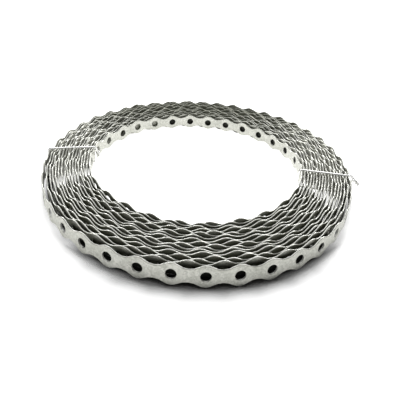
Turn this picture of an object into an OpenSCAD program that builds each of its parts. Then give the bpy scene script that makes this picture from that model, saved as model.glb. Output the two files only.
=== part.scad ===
// Coil of perforated steel strap, lying flat and held by two twisted tie wires.
// Origin under the middle of the coil, on the floor that it lies on.

/* [Strap] */
// Width of the strap from crest to crest of its wavy edges
strap_w = 12; // [9:0.5:20]
// Width of the strap at its waists, between two holes
waist_w = 7.1; // [6.5:0.1:8.5]
// Thickness of the steel
strap_t = 0.8; // [0.5:0.05:1.2]
// Diameter of the screw holes
hole_d = 5.6; // [3:0.1:6]
// Distance from hole to hole along the strap
hole_pitch = 16.5; // [15:0.5:20]
// Radius of the hollow at a waist
waist_r = 9; // [8:0.1:12]

/* [Coil] */
// Inside diameter of the coil
bore_d = 148; // [100:1:300]
// Number of turns
turns = 17; // [4:1:20]
// Clear gap between two turns
turn_gap = 1.3; // [1:0.1:3]
// Angle over which each turn climbs out to the next one
climb_angle = 8; // [6:0.5:12]
// Direction of that climb, from the right-hand side
climb_at = 128; // [90:1:150]

/* [Tie wires] */
// Diameter of the tie wire
wire_d = 1.2; // [0.8:0.1:2]
// Clearance between a wire and the strap
wire_clear = 0.2; // [0.1:0.05:0.5]
// Radius of the bends in the wire, along its middle
wire_bend_r = 2; // [1.5:0.1:4]
// Length of the twisted tail
tail_l = 8; // [5:0.5:12]
// Width of the twisted tail, two wires side by side
tail_d = 2.2; // [1.6:0.1:3]
// Angle between the tail and straight up
tail_lean = 135; // [90:5:150]
// Direction of the right tie
right_tie_at = -20; // [-40:1:40]
// Direction of the left tie
left_tie_at = 178; // [165:1:220]

/* [Hidden] */
$fn = 96;

turn_step = strap_t + turn_gap;
bore_r = bore_d / 2;
outer_r = bore_r + (turns - 1) * turn_step + strap_t;
arc_angle = 360 - climb_angle;
strap_z = wire_d + wire_clear + strap_w / 2;

// How far a cut runs past the surface that it starts from
over = 0.4;
// How far the climbing stretch lies inside the section of a waist
neck_inset = 0.1;
// Angle by which it runs into the turns that it joins
climb_lap = 0.4;

function turn_r(k) = bore_r + k * turn_step;
function holes_in(k) = round((turn_r(k) + strap_t / 2) * arc_angle * PI / 180 / hole_pitch);
function waist_angle(k, i) = climb_at + climb_angle / 2 + i * arc_angle / holes_in(k);
function hole_angle(k, i) = waist_angle(k, i + 0.5);
function polar(r, a) = [r * cos(a), r * sin(a)];

// Outline of the hollow in the strap's upper edge, at a waist
module hollow() {
  intersection() {
    translate([0, waist_w / 2 + waist_r]) circle(r = waist_r);
    translate([-waist_r, 0]) square([2 * waist_r, strap_w / 2 + over]);
  }
}

// Stands an outline on a turn as a cutter that points outwards
module cut_through(k, angle) {
  rotate([90, 0, angle + 90]) translate([0, 0, turn_r(k) - turn_gap / 2])
    linear_extrude(turn_step) children();
}

// One turn of the strap as a plain band
module plain_turn(k) {
  rotate([0, 0, climb_at + climb_angle / 2]) rotate_extrude(angle = arc_angle)
    translate([turn_r(k), -strap_w / 2]) square([strap_t, strap_w]);
}

// One turn with its holes and wavy edges
module wavy_turn(k) {
  difference() {
    plain_turn(k);
    for (i = [0 : holes_in(k) - 1]) cut_through(k, hole_angle(k, i)) circle(d = hole_d);
    for (i = [0 : holes_in(k)]) cut_through(k, waist_angle(k, i)) hollow();
    for (i = [0 : holes_in(k)]) cut_through(k, waist_angle(k, i)) mirror([0, 1]) hollow();
  }
}

// The short straight stretch that climbs from one turn to the next
module climb(k) {
  from = climb_at - climb_angle / 2 - climb_lap;
  to = climb_at + climb_angle / 2 + climb_lap;
  inner = turn_r(k) + neck_inset;
  outer = turn_r(k) + strap_t - neck_inset;
  linear_extrude(waist_w - 2 * neck_inset, center = true)
    polygon([
      polar(inner, from), polar(outer, from),
      polar(outer + turn_step, to), polar(inner + turn_step, to)
    ]);
}

module strap() {
  color("#b9bbb4") translate([0, 0, strap_z]) {
    wavy_turn(0);
    wavy_turn(turns - 1);
    for (k = [1 : turns - 2]) plain_turn(k);
    for (k = [0 : turns - 2]) climb(k);
  }
}

// A quarter bend of the wire about the origin, from the first axis to the second
module wire_bend() {
  rotate([90, 0, 0]) rotate_extrude(angle = 90) translate([wire_bend_r, 0]) circle(d = wire_d);
}

// Wire tied round all the turns, with its two ends twisted together outside or inside the coil
module tie_wire(direction, tail_inside) {
  reach = wire_clear + wire_d / 2;
  inner_x = bore_r - reach;
  outer_x = outer_r + reach;
  low_z = wire_d / 2;
  high_z = strap_z + strap_w / 2 + reach;
  run_x = outer_x - inner_x - 2 * wire_bend_r;
  run_z = high_z - low_z - 2 * wire_bend_r;
  rotate([0, 0, direction]) {
    for (z = [low_z, high_z])
      translate([inner_x + wire_bend_r, 0, z]) rotate([0, 90, 0]) cylinder(d = wire_d, h = run_x);
    for (x = [inner_x, outer_x])
      translate([x, 0, low_z + wire_bend_r]) cylinder(d = wire_d, h = run_z);
    translate([outer_x - wire_bend_r, 0, high_z - wire_bend_r]) wire_bend();
    translate([inner_x + wire_bend_r, 0, high_z - wire_bend_r]) mirror([1, 0, 0]) wire_bend();
    translate([outer_x - wire_bend_r, 0, low_z + wire_bend_r]) mirror([0, 0, 1]) wire_bend();
    translate([inner_x + wire_bend_r, 0, low_z + wire_bend_r]) rotate([0, 180, 0]) wire_bend();
    translate([tail_inside ? inner_x : outer_x, 0, high_z - wire_bend_r - tail_d])
      rotate([0, tail_inside ? -tail_lean : tail_lean, 0]) tail();
  }
}

// The two wire ends twisted round each other, as one round stub of the pair's width
module tail() {
  cylinder(d = tail_d, h = tail_l - tail_d / 2);
  translate([0, 0, tail_l - tail_d / 2]) sphere(d = tail_d);
}

module tie_wire_right() { color("#d6d6d2") tie_wire(right_tie_at, tail_inside = false); }
module tie_wire_left() { color("#d6d6d2") tie_wire(left_tie_at, tail_inside = true); }

strap();
tie_wire_right();
tie_wire_left();
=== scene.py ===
"""Looks of a coil of perforated galvanised strap, held by two twisted tie wires."""
import math

import bmesh
import bpy
import numpy as np
from mathutils import Euler, Matrix, Vector


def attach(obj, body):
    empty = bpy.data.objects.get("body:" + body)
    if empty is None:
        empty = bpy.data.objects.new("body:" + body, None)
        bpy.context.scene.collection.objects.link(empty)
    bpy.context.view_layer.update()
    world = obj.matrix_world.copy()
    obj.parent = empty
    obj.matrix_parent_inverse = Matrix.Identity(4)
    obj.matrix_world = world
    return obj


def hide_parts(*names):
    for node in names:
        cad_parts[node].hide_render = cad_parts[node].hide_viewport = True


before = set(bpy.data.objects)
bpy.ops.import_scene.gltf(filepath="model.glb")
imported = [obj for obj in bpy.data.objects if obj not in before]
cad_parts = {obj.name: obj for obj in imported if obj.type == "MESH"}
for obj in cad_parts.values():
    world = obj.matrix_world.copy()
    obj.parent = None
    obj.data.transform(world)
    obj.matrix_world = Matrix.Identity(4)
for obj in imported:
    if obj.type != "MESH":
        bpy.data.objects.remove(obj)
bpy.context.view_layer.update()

MM = 0.001
ROUND = 2 * math.pi

# Strap, as in the part's source
STRAP_W = 12.0 * MM
STRAP_T = 0.8 * MM
WAIST_W = 7.1 * MM
HOLE_R = 2.8 * MM
PITCH = 16.5 * MM
STRAP_MID = 7.4 * MM
# Broken corners of the strap, and the steps of an arc in its outline
EDGE_BEVEL = 0.2 * MM
ARC_STEPS = 2
# Material slots of the strap's faces, with their broken corners, and of its sheared edges
FACE_SLOT = 0
EDGE_SLOT = 1

# Coil, with radii at the middle of the strap's thickness
TURNS = 17
INNER_R = 72.65 * MM
TURN_STEP = 2.2 * MM
CLIMB_AT = math.radians(128)
CLIMB_SPREAD = math.radians(40)
PATH_STEPS = 720
# How far each turn lies nearer to the front than the one outside it
TURN_SHIFT = 0.15 * MM
# Slack that brings the last turn's waists in front of the crests behind it, and where it is taken up:
# how many turns before the strap's end, and over how much of a turn
LAST_SLACK = 5.4 * MM
SLACK_BEFORE_END = 1.45
SLACK_STRETCH = 0.55

# Directions of the coil's near side, of a hole there and of one at the back of the bore
FRONT = math.radians(-95)
FRONT_HOLE = math.radians(-91.6)
BORE_HOLE = math.radians(79.9)

# Unevenness from turn to turn: numbers of waves in a round, their size in radius, height and lean, the
# limits of height, and how far about the climb the turns lie calm
WAVES_ROUND = (2, 3, 5, 8, 13, 21, 34)
WAVES_SEED = 7
RADIUS_WAVES = 0.24 * MM
LIFT_WAVES = 0.42 * MM
LEAN_WAVES = 0.015
LIFT_LOWEST = -1.3 * MM
LIFT_HIGHEST = 1.2 * MM
CALM_SPREAD = math.radians(35)
# Near side: how far the turns fall back from the last one, and how it draws in and leans
LOOSE = 2.4 * MM
LOOSE_AT = FRONT - math.radians(15)
FRONT_SPREAD = math.radians(60)
FRONT_LEAN = 0.04
LAST_LEAN = 0.09
LAST_DRAWN_IN = 0.8 * MM
# How far the coil sags to the floor between the ties
SAG = 1.15 * MM
SAG_SPREAD = math.radians(50)

# Tie wires
WIRE_R = 0.7 * MM
WIRE_SIDES = 10
WIRE_BEND = 2.0 * MM
WIRE_INNER = 71.6 * MM
WIRE_OUTER = 109.0 * MM
WIRE_LOW = 0.7 * MM
WIRE_HIGH = 14.1 * MM
TOP_STRETCHES = 6
RIGHT_TIE = math.radians(-18.1)
LEFT_TIE = math.radians(178.9)
# How far each tie presses the turns together, from the inside and from the outside, and how far round the
# coil it draws them in and holds them level
RIGHT_SQUEEZE = (0.3 * MM, 2.4 * MM)
LEFT_SQUEEZE = (4.2 * MM, 1.6 * MM)
SQUEEZE_SPREAD = math.radians(38)
LEVEL_SPREAD = math.radians(15)
# How far each tie is turned about its own middle
RIGHT_SKEW = math.radians(4.8)
LEFT_SKEW = math.radians(9.5)
# Angle between each tail and straight up, and how far it stands off the turns
RIGHT_TAIL = (math.radians(135), 0.2 * MM)
LEFT_TAIL = (math.radians(165), 1.3 * MM)
# The two twisted ends: half the distance between their middles, how fast they draw together, the bend of
# the lower one into the tail, and each one's length and turns
PAIR_HALF = WIRE_R * 1.04
PAIR_NARROWING = 1.5
HOOK_BEND = 0.9 * MM
UPPER_TWIST = (4.6 * MM, 1.25)
LOWER_TWIST = (4.1 * MM, 1.1)

# Painted shade between the turns: its colour, a darker painted shade, its roughness and how far it looks for
# crevices
PAINTED_SHADE_COLOUR = (0.16, 0.168, 0.118)
DEEP_SHADE_COLOUR = (0.015, 0.016, 0.012)
PAINTED_SHADE_ROUGHNESS = 0.8
PAINTED_SHADE_REACH = 7 * MM
# Turns with the darker painted shade, counted from the middle of the strap, and the share of the steel's own
# colour that shows through it
DEEP_SHADE_AT = TURNS / 2 - 1.55
DEEP_SHADE_HALF = 0.4
DEEP_SHADE_OWN_SHARE = 0.12
# Painted shade on the edges on the coil's far side: their colour there
FAR_SIDE_SHADE_COLOUR = (0.2, 0.207, 0.16)
# Samples of the nodes that find how shaded a place is
SHADE_SAMPLES = 8


# Strap

def new_piece(name, mesh, materials, node):
    """Puts a finished mesh in the scene in place of a CAD node."""
    for material in materials:
        mesh.materials.append(material)
    piece = bpy.data.objects.new(name, mesh)
    bpy.context.scene.collection.objects.link(piece)
    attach(piece, "root")
    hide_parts(node)


def mirrored(bm, axis):
    """Adds the mirror image of all that is there."""
    geom = bm.verts[:] + bm.edges[:] + bm.faces[:]
    bmesh.ops.mirror(bm, geom=geom, matrix=Matrix.Identity(4), merge_dist=1e-6, axis=axis)


def spun_arc(bm, start, centre, angle, steps):
    """Draws an arc from a vertex and returns its end."""
    arc = bmesh.ops.spin(bm, geom=start, cent=centre, axis=(0, 0, 1), angle=angle, steps=steps)
    return [g for g in arc["geom_last"] if isinstance(g, bmesh.types.BMVert)]


def link_mesh():
    """One link of the strap lying flat, from waist to waist round its hole, open at both ends."""
    crest_r = STRAP_W / 2
    half_waist, half_pitch = WAIST_W / 2, PITCH / 2
    waist_r = (half_pitch**2 + half_waist**2 - crest_r**2) / (2 * (crest_r - half_waist))
    waist_centre = Vector((half_pitch, half_waist + waist_r, 0))
    swing = math.pi / 2 - math.atan2(waist_centre.y, waist_centre.x)

    bm = bmesh.new()
    crest = bmesh.ops.create_vert(bm, co=(0, crest_r, 0))["vert"]
    tip = spun_arc(bm, crest, (0, 0, 0), -swing, ARC_STEPS)
    tip = spun_arc(bm, tip, waist_centre, swing, ARC_STEPS)
    end = bmesh.ops.extrude_vert_indiv(bm, verts=tip)["verts"]
    bmesh.ops.translate(bm, verts=end, vec=(0, -half_waist, 0))
    rim = bmesh.ops.create_vert(bm, co=(0, HOLE_R, 0))["vert"]
    spun_arc(bm, rim, (0, 0, 0), -math.pi / 2, 2 * ARC_STEPS + 1)
    bmesh.ops.bridge_loops(bm, edges=bm.edges[:])
    mirrored(bm, "X")
    mirrored(bm, "Y")
    bmesh.ops.recalc_face_normals(bm, faces=bm.faces[:])
    bmesh.ops.reverse_faces(bm, faces=[f for f in bm.faces if f.normal.z < 0])

    bmesh.ops.solidify(bm, geom=bm.faces[:], thickness=STRAP_T)
    ends = [f for f in bm.faces if all(abs(abs(v.co.x) - half_pitch) < 1e-6 for v in f.verts)]
    bmesh.ops.delete(bm, geom=ends, context="FACES")
    bm.normal_update()
    past_hole = HOLE_R * 1.1
    corners = [
        e for e in bm.edges
        if len(e.link_faces) == 2 and e.calc_face_angle() > 1
        and all(v.co.to_2d().length > past_hole for v in e.verts)
    ]
    bmesh.ops.bevel(
        bm, geom=corners, offset=EDGE_BEVEL, offset_type="OFFSET", segments=1, profile=0.5,
        affect="EDGES", material=-1,
    )
    bm.normal_update()
    for face in bm.faces:
        face.material_index = FACE_SLOT if abs(face.normal.z) > 0.5 else EDGE_SLOT
    middle = sum((v.co.z for v in bm.verts)) / len(bm.verts)
    bmesh.ops.translate(bm, verts=bm.verts[:], vec=(half_pitch, 0, -middle))
    mesh = bpy.data.meshes.new("link")
    bm.to_mesh(mesh)
    bm.free()
    return mesh


def flat_strap(links):
    """The whole strap before winding, as an array of joined links with closed ends."""
    link = bpy.data.objects.new("link", link_mesh())
    bpy.context.scene.collection.objects.link(link)
    array = link.modifiers.new("links", "ARRAY")
    array.count = links
    array.use_relative_offset = False
    array.use_constant_offset = True
    array.constant_offset_displace = (PITCH, 0, 0)
    array.use_merge_vertices = True
    array.merge_threshold = 1e-6
    strap = bpy.data.meshes.new_from_object(link.evaluated_get(bpy.context.evaluated_depsgraph_get()))
    bpy.data.objects.remove(link)
    bm = bmesh.new()
    bm.from_mesh(strap)
    bmesh.ops.holes_fill(bm, edges=[e for e in bm.edges if e.is_boundary], sides=0)
    bm.to_mesh(strap)
    bm.free()
    return strap


def swell(azimuth, centre, spread):
    """A smooth swell of 1 about a direction, all given in radians."""
    away = (azimuth - centre + math.pi) % ROUND - math.pi
    return np.exp(-((away / spread) ** 2))


def turn_waves(azimuth, turn, rng, size):
    """Smooth unevenness that differs from turn to turn."""
    total = np.zeros_like(azimuth)
    for waves in WAVES_ROUND:
        phases = np.unwrap(rng.uniform(0, ROUND, TURNS + 1))
        phase = np.interp(turn, np.arange(TURNS + 1), phases)
        total += np.cos(waves * azimuth + phase) * size / math.sqrt(waves)
    return total


def coil_path():
    """The strap's way in the coil: azimuth, length so far, radius, shift to the front, lift and lean."""
    angle = np.linspace(0, TURNS * ROUND, TURNS * PATH_STEPS)
    azimuth = CLIMB_AT + angle
    turn = angle / ROUND
    past = turn + CLIMB_SPREAD / (2 * ROUND)
    share = np.clip(past % 1 * ROUND / CLIMB_SPREAD, 0, 1)
    climbed = np.clip(np.floor(past) - 1 + share * share * (3 - 2 * share), 0, TURNS - 1)
    depth = climbed / (TURNS - 1)
    on_last = np.clip(climbed - (TURNS - 2), 0, 1)
    near = swell(azimuth, FRONT, FRONT_SPREAD)
    calm = 1 - swell(azimuth, CLIMB_AT, CALM_SPREAD)
    rng = np.random.default_rng(WAVES_SEED)

    loose = LOOSE * swell(azimuth, LOOSE_AT, FRONT_SPREAD)
    radius = INNER_R + TURN_STEP * climbed - (1 - on_last) * loose * climbed / (TURNS - 2)
    for direction, from_inside, from_outside in ((RIGHT_TIE, *RIGHT_SQUEEZE), (LEFT_TIE, *LEFT_SQUEEZE)):
        squeeze = swell(azimuth, direction, SQUEEZE_SPREAD)
        radius += squeeze * ((1 - depth) * from_inside - depth * from_outside)
    radius += calm * (1 - on_last) * turn_waves(azimuth, turn, rng, RADIUS_WAVES)
    radius -= near * on_last * LAST_DRAWN_IN
    shift = TURN_SHIFT * (TURNS - 1 - climbed)

    tied = 1 - swell(azimuth, RIGHT_TIE, LEVEL_SPREAD) - swell(azimuth, LEFT_TIE, LEVEL_SPREAD)
    sag = swell(azimuth, FRONT, SAG_SPREAD) + swell(azimuth, FRONT + math.pi, SAG_SPREAD)
    lift = tied * turn_waves(azimuth, turn, rng, LIFT_WAVES) - SAG * sag
    lift = np.clip(lift, LIFT_LOWEST, LIFT_HIGHEST)
    lean = calm * turn_waves(azimuth, turn, rng, LEAN_WAVES)
    lean -= near * (FRONT_LEAN * depth + LAST_LEAN * on_last)

    length = np.concatenate([[0], np.cumsum((radius[1:] + radius[:-1]) / 2 * np.diff(angle))])
    length += LAST_SLACK * np.clip((turn - TURNS + SLACK_BEFORE_END) / SLACK_STRETCH, 0, 1)
    return azimuth, length, radius, shift, lift, lean


def wound_strap():
    """The strap wound along the coil's path, its pitch fitted so that a hole comes to each of two places."""
    azimuth, length, radius, shift, lift, lean = coil_path()
    bore_at = CLIMB_AT + (BORE_HOLE - CLIMB_AT) % ROUND
    front_at = CLIMB_AT + (FRONT_HOLE - CLIMB_AT) % ROUND + (TURNS - 1) * ROUND
    first, last = np.interp([bore_at, front_at], azimuth, length)
    pitch = (last - first) / round((last - first) / PITCH)
    start = (first - pitch / 2) % pitch
    mesh = flat_strap(int((length[-1] - start) / pitch))

    flat = np.zeros(len(mesh.vertices) * 3)
    mesh.vertices.foreach_get("co", flat)
    along, across, out = flat.reshape(-1, 3).T
    at = np.interp(start + along * pitch / PITCH, length, azimuth)
    r = np.interp(at, azimuth, radius) + out + across * np.interp(at, azimuth, lean)
    moved = np.interp(at, azimuth, shift)
    x = r * np.cos(at) + moved * math.cos(FRONT)
    y = r * np.sin(at) + moved * math.sin(FRONT)
    z = STRAP_MID + across + np.interp(at, azimuth, lift)
    mesh.vertices.foreach_set("co", np.stack([x, y, z], 1).ravel())
    mesh.attributes.new("turn", "FLOAT", "POINT").data.foreach_set("value", (at - CLIMB_AT) / ROUND)
    mesh.shade_smooth()
    mesh.set_sharp_from_angle(angle=math.radians(40))
    mesh.update()
    return mesh


# Tie wires

def run(bm, ring, shift):
    """Carries a wire's end straight on."""
    grown = bmesh.ops.extrude_edge_only(bm, edges=ring)["geom"]
    bmesh.ops.translate(bm, verts=[g for g in grown if isinstance(g, bmesh.types.BMVert)], vec=shift)
    return [g for g in grown if isinstance(g, bmesh.types.BMEdge) and g.is_boundary]


def last_edges(result):
    """The open end that a spin leaves."""
    return [g for g in result["geom_last"] if isinstance(g, bmesh.types.BMEdge)]


def bend(bm, ring, centre, angle, steps=6):
    """Bends a wire's end about an axis along the tangent of the coil."""
    return last_edges(bmesh.ops.spin(bm, geom=ring, cent=centre, axis=(0, 1, 0), angle=angle, steps=steps))


def twist(bm, ring, centre, along, length, turns, steps=22):
    """Winds a wire's end about the axis of the tail."""
    bmesh.ops.spin(
        bm, geom=ring, cent=centre, axis=along, dvec=along * (length / steps),
        angle=turns * ROUND, steps=steps,
    )


def tie_mesh(name, direction, squeeze, skew, tail_lean, tail_off, tail_inside):
    """One wire round all the turns, its two ends twisted into a tail that leans down from its top corner."""
    up_to, down_to = WIRE_HIGH - WIRE_BEND, WIRE_LOW + WIRE_BEND
    inner, outer = WIRE_INNER + squeeze[0], WIRE_OUTER - squeeze[1]
    near, far = inner + WIRE_BEND, outer - WIRE_BEND
    corner = far + tail_off
    over = tail_lean - math.pi / 2
    lean = Vector((math.sin(tail_lean), 0, math.cos(tail_lean)))
    tail_at = Vector((corner + WIRE_BEND * math.sin(over), 0, up_to + WIRE_BEND * math.cos(over)))
    hook_x = outer + HOOK_BEND * (1 - math.cos(tail_lean))
    hook_at = Vector((hook_x, 0, tail_at.z + (hook_x - tail_at.x) * lean.z / lean.x))
    hook_z = hook_at.z - HOOK_BEND * math.sin(tail_lean)

    bm = bmesh.new()
    across_tail = Matrix.Translation(tail_at) @ Matrix.Rotation(tail_lean, 4, "Y")
    bmesh.ops.create_circle(bm, segments=WIRE_SIDES, radius=WIRE_R, matrix=across_tail)
    start = bm.edges[:]

    ring = bend(bm, start, (corner, 0, up_to), -over)
    for _ in range(TOP_STRETCHES):
        ring = run(bm, ring, ((near - corner) / TOP_STRETCHES, 0, 0))
    ring = bend(bm, ring, (near, 0, up_to), -math.pi / 2)
    ring = run(bm, ring, (0, 0, down_to - up_to))
    ring = bend(bm, ring, (near, 0, down_to), -math.pi / 2)
    ring = run(bm, ring, (far - near, 0, 0))
    ring = bend(bm, ring, (far, 0, down_to), -math.pi / 2)
    ring = run(bm, ring, (0, 0, hook_z - down_to))
    # The two ends lie side by side where they meet
    for vert in bm.verts:
        share = (outer - vert.co.x) / (outer - inner)
        side = 1 if vert.co.z > (hook_z + tail_at.z) / 2 else -1
        vert.co.y += side * PAIR_HALF * min(1, max(0, 1 - share * PAIR_NARROWING))

    lower = bend(bm, ring, (outer + HOOK_BEND, 0, hook_z), tail_lean, steps=8)
    upper = run(bm, start, hook_at - tail_at)
    twist(bm, upper, hook_at, lean, *UPPER_TWIST)
    twist(bm, lower, hook_at, lean, *LOWER_TWIST)
    bmesh.ops.holes_fill(bm, edges=[e for e in bm.edges if e.is_boundary], sides=0)

    middle = (inner + outer) / 2
    if tail_inside:
        swap = Matrix.Translation((2 * middle, 0, 0)) @ Matrix.Scale(-1, 4, (1, 0, 0))
        bmesh.ops.transform(bm, matrix=swap, verts=bm.verts[:])
    bmesh.ops.rotate(bm, cent=(middle, 0, 0), matrix=Matrix.Rotation(skew, 3, "Z"), verts=bm.verts[:])
    bmesh.ops.rotate(bm, cent=(0, 0, 0), matrix=Matrix.Rotation(direction, 3, "Z"), verts=bm.verts[:])
    bmesh.ops.recalc_face_normals(bm, faces=bm.faces[:])
    mesh = bpy.data.meshes.new(name)
    bm.to_mesh(mesh)
    bm.free()
    mesh.shade_smooth()
    mesh.set_sharp_from_angle(angle=math.radians(50))
    return mesh


# Shader nodes

def add_node(tree, kind, place, **properties):
    """Adds a node at a place in the tree and sets its properties."""
    node = tree.nodes.new(kind)
    node.location = place
    for name, value in properties.items():
        setattr(node, name, value)
    return node


def feed(tree, socket, value):
    """Links a node's output to a socket, or sets the socket to a constant."""
    if isinstance(value, bpy.types.NodeSocket):
        tree.links.new(value, socket)
    else:
        socket.default_value = value


def maths(tree, place, operation, *values, clamp=False):
    """The result of a Math node on sockets or constants."""
    node = add_node(tree, "ShaderNodeMath", place, operation=operation, use_clamp=clamp)
    for socket, value in zip(node.inputs, values):
        feed(tree, socket, value)
    return node.outputs[0]


def graded(tree, place, value, start, end, low=0.0, high=1.0):
    """A value that goes from low to high while another goes from start to end."""
    node = add_node(tree, "ShaderNodeMapRange", place)
    inputs = {"Value": value, "From Min": start, "From Max": end, "To Min": low, "To Max": high}
    for name, given in inputs.items():
        feed(tree, node.inputs[name], given)
    return node.outputs["Result"]


def blended(tree, place, kind, share, first, second):
    """A mix of two colours or two values."""
    node = add_node(tree, "ShaderNodeMix", place, data_type=kind)
    for name, given in (("Factor", share), ("A", first), ("B", second)):
        feed(tree, node.inputs[name], given)
    return node.outputs["Result"]


def grey_ramp(tree, place, value, steps):
    """A grey level that follows pairs of position and level."""
    node = add_node(tree, "ShaderNodeValToRGB", place)
    stops = node.color_ramp.elements
    stops[0].position = steps[0][0]
    stops[1].position = steps[-1][0]
    for position, _ in steps[1:-1]:
        stops.new(position)
    for stop, (_, level) in zip(stops, steps):
        stop.color = (level, level, level, 1)
    tree.links.new(value, node.inputs["Fac"])
    return node.outputs["Color"]


def split_coords(tree, place, source):
    """The three coordinates of each point, from one of the Texture Coordinate node's outputs."""
    coords = add_node(tree, "ShaderNodeTexCoord", place)
    parts = add_node(tree, "ShaderNodeSeparateXYZ", (place[0] + 200, place[1]))
    tree.links.new(coords.outputs[source], parts.inputs[0])
    return parts.outputs


# Materials

def zinc_group():
    """Shared finish of hot-dip zinc: spangle, stains and fine grain, as colour, roughness and height."""
    group = bpy.data.node_groups.new("zinc_finish", "ShaderNodeTree")
    for name, way, kind in (
        ("Light", "INPUT", "NodeSocketColor"),
        ("Dark", "INPUT", "NodeSocketColor"),
        ("Smoothest", "INPUT", "NodeSocketFloat"),
        ("Roughest", "INPUT", "NodeSocketFloat"),
        ("Color", "OUTPUT", "NodeSocketColor"),
        ("Roughness", "OUTPUT", "NodeSocketFloat"),
        ("Height", "OUTPUT", "NodeSocketFloat"),
    ):
        group.interface.new_socket(name, in_out=way, socket_type=kind)
    given = add_node(group, "NodeGroupInput", (-1000, 0)).outputs
    made = add_node(group, "NodeGroupOutput", (600, 0)).inputs
    coords = add_node(group, "ShaderNodeTexCoord", (-1000, -300)).outputs["Object"]
    spangle = add_node(group, "ShaderNodeTexVoronoi", (-700, 100))
    stain = add_node(group, "ShaderNodeTexNoise", (-700, -150))
    grain = add_node(group, "ShaderNodeTexNoise", (-700, -400))
    stain.inputs["Detail"].default_value = 4.0
    for texture, scale in ((spangle, 1100.0), (stain, 120.0), (grain, 3500.0)):
        texture.inputs["Scale"].default_value = scale
        group.links.new(coords, texture.inputs["Vector"])
    cell = add_node(group, "ShaderNodeSeparateColor", (-480, 100))
    group.links.new(spangle.outputs["Color"], cell.inputs["Color"])
    stained = maths(group, (-480, -100), "MULTIPLY", stain.outputs["Fac"], 0.75)
    lightness = maths(group, (-300, 0), "MULTIPLY_ADD", cell.outputs["Red"], 0.45, stained)
    feed(group, made["Color"], blended(group, (100, 150), "RGBA", lightness, given["Dark"], given["Light"]))
    roughness = graded(
        group, (100, -100), cell.outputs["Green"], 0.0, 1.0, given["Smoothest"], given["Roughest"],
    )
    feed(group, made["Roughness"], roughness)
    height = maths(
        group, (100, -350), "MULTIPLY_ADD", spangle.outputs["Distance"], 0.5, grain.outputs["Fac"],
    )
    feed(group, made["Height"], height)
    return group


def shaded_far_side(tree, colour):
    """Painted shade: a darker colour on the coil's far side."""
    y = split_coords(tree, (-1100, 950), "Object")["Y"]
    far_part = graded(tree, (-700, 950), y, 30 * MM, 85 * MM)
    return blended(tree, (-450, 950), "RGBA", far_part, colour, (*FAR_SIDE_SHADE_COLOUR, 1))


def painted_shade_between_turns(tree, colour, roughness):
    """Painted shade where turns lie close and hide the light, none at the coil's sides, and darker painted
    shade low down on the turns next to the first and the last."""
    x, y, z = split_coords(tree, (-1100, 750), "Object")
    # Painted shade: darker where the coil's own turns hide the light, lifted at the coil's sides
    hidden = add_node(tree, "ShaderNodeAmbientOcclusion", (-700, 500), only_local=True)
    hidden.samples = SHADE_SAMPLES
    hidden.inputs["Distance"].default_value = PAINTED_SHADE_REACH
    open_part = graded(tree, (-450, 500), hidden.outputs["AO"], 0.3, 0.9)
    off_middle = maths(tree, (-700, 750), "ABSOLUTE", x)
    off_side = maths(tree, (-700, 600), "ABSOLUTE", y)
    sideways = maths(tree, (-580, 700), "SUBTRACT", off_middle, off_side)
    side_part = graded(tree, (-450, 750), sideways, 20 * MM, 65 * MM)
    unshaded_part = maths(tree, (-250, 600), "ADD", open_part, side_part, clamp=True)

    # Darker painted shade low down on the turns next to the first and the last
    turn = add_node(tree, "ShaderNodeAttribute", (-1100, 1200), attribute_name="turn").outputs["Fac"]
    from_middle = maths(tree, (-900, 1200), "SUBTRACT", turn, TURNS / 2)
    outward = maths(tree, (-700, 1200), "ABSOLUTE", from_middle)
    next_to_last = maths(tree, (-450, 1200), "COMPARE", outward, DEEP_SHADE_AT, DEEP_SHADE_HALF)
    low_part = graded(tree, (-700, 1400), z, 11 * MM, 8 * MM)
    deep_shade_part = maths(tree, (-450, 1400), "MULTIPLY", next_to_last, low_part)
    kept = graded(tree, (-250, 1000), deep_shade_part, 0.0, 1.0, 1.0, DEEP_SHADE_OWN_SHARE)
    own_colour_part = maths(tree, (-100, 700), "MULTIPLY", unshaded_part, kept)
    painted_shade = blended(tree, (-450, 300), "RGBA", deep_shade_part, (*PAINTED_SHADE_COLOUR, 1), (*DEEP_SHADE_COLOUR, 1))
    colour = blended(tree, (-250, 300), "RGBA", own_colour_part, painted_shade, colour)
    roughness = blended(tree, (-250, 50), "FLOAT", own_colour_part, PAINTED_SHADE_ROUGHNESS, roughness)
    return colour, roughness


def steel(
    name, zinc, light, dark, smoothest, roughest, relief_depth, metallic=0.75, painted_shade=False, far_side_shade=False,
):
    """A galvanised steel that takes its spangle from the shared finish."""
    material = bpy.data.materials.new(name)
    material.use_nodes = True
    tree = material.node_tree
    shader = tree.nodes["Principled BSDF"]
    shader.inputs["Metallic"].default_value = metallic
    finish = add_node(tree, "ShaderNodeGroup", (-700, 200), node_tree=zinc)
    finish.inputs["Light"].default_value = (*light, 1)
    finish.inputs["Dark"].default_value = (*dark, 1)
    finish.inputs["Smoothest"].default_value = smoothest
    finish.inputs["Roughest"].default_value = roughest
    relief = add_node(tree, "ShaderNodeBump", (-250, -100))
    relief.inputs["Strength"].default_value = 0.35
    relief.inputs["Distance"].default_value = relief_depth
    colour, roughness = finish.outputs["Color"], finish.outputs["Roughness"]
    # Painted shade on the coil's far side
    if far_side_shade:
        colour = shaded_far_side(tree, colour)
    # Painted shade between the turns
    if painted_shade:
        colour, roughness = painted_shade_between_turns(tree, colour, roughness)
    tree.links.new(colour, shader.inputs["Base Color"])
    tree.links.new(roughness, shader.inputs["Roughness"])
    tree.links.new(finish.outputs["Height"], relief.inputs["Height"])
    tree.links.new(relief.outputs["Normal"], shader.inputs["Normal"])
    return material


# Stage

def seen_white(tree):
    """Light Path's camera, glossy and transmission rays as one factor."""
    path = add_node(tree, "ShaderNodeLightPath", (-700, -200)).outputs
    either = maths(tree, (-500, -200), "MAXIMUM", path["Is Camera Ray"], path["Is Glossy Ray"])
    return maths(tree, (-300, -200), "MAXIMUM", either, path["Is Transmission Ray"])


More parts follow.
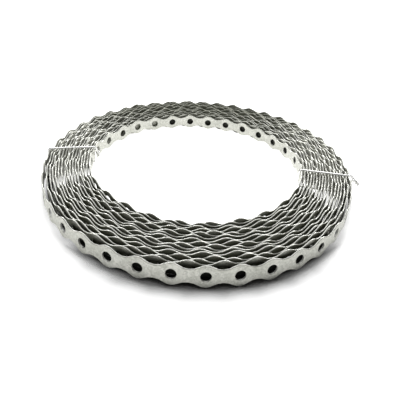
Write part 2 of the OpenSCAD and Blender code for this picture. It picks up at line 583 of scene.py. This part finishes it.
def floor_light(tree, reach, y):
    """How open to the light the floor is: dark in a ring under the last turns, which reaches out from under
    them at the near side, and shaded around that ring."""
    shade = add_node(tree, "ShaderNodeAmbientOcclusion", (-700, 200), samples=SHADE_SAMPLES)
    shade.inputs["Distance"].default_value = 11 * MM
    clear = graded(tree, (-500, 200), shade.outputs["AO"], 0.66, 1.0)
    beside = graded(tree, (-500, 600), y, -105 * MM, -65 * MM, 0.0, 0.8)
    faint = maths(tree, (-300, 600), "ADD", clear, beside, clamp=True)
    outside = graded(tree, (-500, 850), reach, 103.5 * MM, 106 * MM)
    front_rim = graded(tree, (-500, 1100), reach, 106 * MM, 110.5 * MM)
    off_front = graded(tree, (-500, 1350), y, -90 * MM, -78 * MM)
    rim = maths(tree, (-300, 1100), "MAXIMUM", front_rim, off_front)
    past_ring = maths(tree, (-300, 850), "MULTIPLY", outside, rim)
    shaded = maths(tree, (-150, 600), "MULTIPLY", faint, past_ring)
    within_ring = graded(tree, (-500, 350), reach, 101.5 * MM, 97.5 * MM)
    return maths(tree, (-300, 350), "MAXIMUM", shaded, within_ring)


def floor_white():
    """White that keeps the coil's shadow and is lifted to white where it is seen."""
    material = bpy.data.materials.new("floor_white")
    material.use_nodes = True
    tree = material.node_tree
    tree.nodes.clear()
    out = add_node(tree, "ShaderNodeOutputMaterial", (500, 0))
    matt = add_node(tree, "ShaderNodeBsdfDiffuse", (0, 150))
    glow = add_node(tree, "ShaderNodeEmission", (0, -50))
    both = add_node(tree, "ShaderNodeAddShader", (250, 0))
    coords = add_node(tree, "ShaderNodeTexCoord", (-1100, -500))
    distance = add_node(tree, "ShaderNodeVectorMath", (-900, -500), operation="LENGTH")
    tree.links.new(coords.outputs["Object"], distance.inputs[0])
    reach = distance.outputs["Value"]
    y = split_coords(tree, (-1100, 600), "Object")["Y"]
    lit = floor_light(tree, reach, y)
    dark, white = (0.02, 0.02, 0.018, 1), (0.9, 0.9, 0.9, 1)
    feed(tree, matt.inputs["Color"], blended(tree, (-250, 200), "RGBA", lit, dark, white))
    level = grey_ramp(
        tree, (-700, -500), reach, ((70 * MM, 1.05), (85 * MM, 0.68), (120 * MM, 0.68), (450 * MM, 0.8)),
    )
    open_glow = maths(tree, (-300, -500), "MULTIPLY", level, lit)
    feed(tree, glow.inputs["Strength"], maths(tree, (-150, -300), "MULTIPLY", seen_white(tree), open_glow))
    tree.links.new(matt.outputs[0], both.inputs[0])
    tree.links.new(glow.outputs[0], both.inputs[1])
    tree.links.new(both.outputs[0], out.inputs["Surface"])
    return material


def floor():
    """The ground that the coil lies on."""
    bm = bmesh.new()
    bmesh.ops.create_grid(bm, x_segments=1, y_segments=1, size=4)
    mesh = bpy.data.meshes.new("floor")
    bm.to_mesh(mesh)
    bm.free()
    mesh.materials.append(floor_white())
    ground = bpy.data.objects.new("floor", mesh)
    bpy.context.scene.collection.objects.link(ground)


def white_world(horizon, middle, overhead, front):
    """Surroundings like a white tent: dim half-way up, bright overhead and dimmer in front of the coil."""
    world = bpy.data.worlds.new("white_room")
    bpy.context.scene.world = world
    world.use_nodes = True
    tree = world.node_tree
    sky = tree.nodes["Background"]
    sky.inputs["Color"].default_value = (1, 1, 1, 1)
    _, y, z = split_coords(tree, (-900, 0), "Generated")
    level = grey_ramp(tree, (-500, 0), z, ((0.1, horizon), (0.55, middle), (0.78, middle), (0.92, overhead)))
    behind = graded(tree, (-400, -300), y, -0.3, 0.5, front, 1.0)
    feed(tree, sky.inputs["Strength"], maths(tree, (-150, 0), "MULTIPLY", level, behind))


def area_light(name, place, aim, size, power):
    """A soft box turned to its aim."""
    lamp = bpy.data.lights.new(name, "AREA")
    lamp.shape = "RECTANGLE"
    lamp.size, lamp.size_y = size
    lamp.energy = power
    light = bpy.data.objects.new(name, lamp)
    light.location = place
    light.rotation_euler = (Vector(aim) - Vector(place)).to_track_quat("-Z", "Y").to_euler()
    bpy.context.scene.collection.objects.link(light)


def camera(eye, yaw, drop, roll, lens, shift):
    """Camera at the photograph's place; the angles are in degrees."""
    data = bpy.data.cameras.new("camera")
    data.lens = lens
    data.shift_y = shift
    data.clip_start = 10 * MM
    view = bpy.data.objects.new("camera", data)
    turned = Euler((math.radians(90 - drop), 0, math.radians(-yaw))).to_matrix()
    turned = turned @ Matrix.Rotation(math.radians(roll), 3, "Z")
    view.matrix_world = Matrix.Translation(eye) @ turned.to_4x4()
    bpy.context.scene.collection.objects.link(view)
    bpy.context.scene.camera = view


zinc = zinc_group()
# Faces get painted shade between the turns, edges get painted shade on the coil's far side
face_steel = steel(
    "galvanised_face", zinc, (0.74, 0.74, 0.68), (0.36, 0.37, 0.32), 0.34, 0.52, 0.04 * MM, painted_shade=True,
)
edge_steel = steel(
    "sheared_edge", zinc, (0.86, 0.86, 0.82), (0.58, 0.59, 0.54), 0.40, 0.55, 0.02 * MM, far_side_shade=True,
)
wire_steel = steel(
    "bright_wire", zinc, (0.95, 0.95, 0.93), (0.86, 0.86, 0.84), 0.2, 0.3, 0.02 * MM, metallic=1.0,
)

right_tie = tie_mesh("tie_right", RIGHT_TIE, RIGHT_SQUEEZE, RIGHT_SKEW, *RIGHT_TAIL, tail_inside=False)
left_tie = tie_mesh("tie_left", LEFT_TIE, LEFT_SQUEEZE, LEFT_SKEW, *LEFT_TAIL, tail_inside=True)
new_piece("strap_coil", wound_strap(), [face_steel, edge_steel], "strap")
new_piece("tie_right", right_tie, [wire_steel], "tie_wire_right")
new_piece("tie_left", left_tie, [wire_steel], "tie_wire_left")

floor()
white_world(horizon=0.5, middle=0.3, overhead=1.0, front=0.7)
area_light("overhead_box", (0, 0, 0.55), (0, 0, 0), (0.4, 0.4), 0.5)
area_light("back_box", (0.05, 0.6, 0.42), (0, 0, 0), (0.9, 0.3), 0.8)
area_light("left_box", (-0.25, 0.565, 0.31), (-0.09, 0.01, 0), (0.4, 0.3), 1.8)
area_light("right_box", (0.35, 0.51, 0.31), (0.09, -0.01, 0), (0.4, 0.3), 1.8)
camera((-0.02051, -0.22602, 0.13816), yaw=5.045, drop=24.91, roll=3.5, lens=31.755, shift=-0.18)

bpy.context.scene.view_settings.view_transform = "Standard"
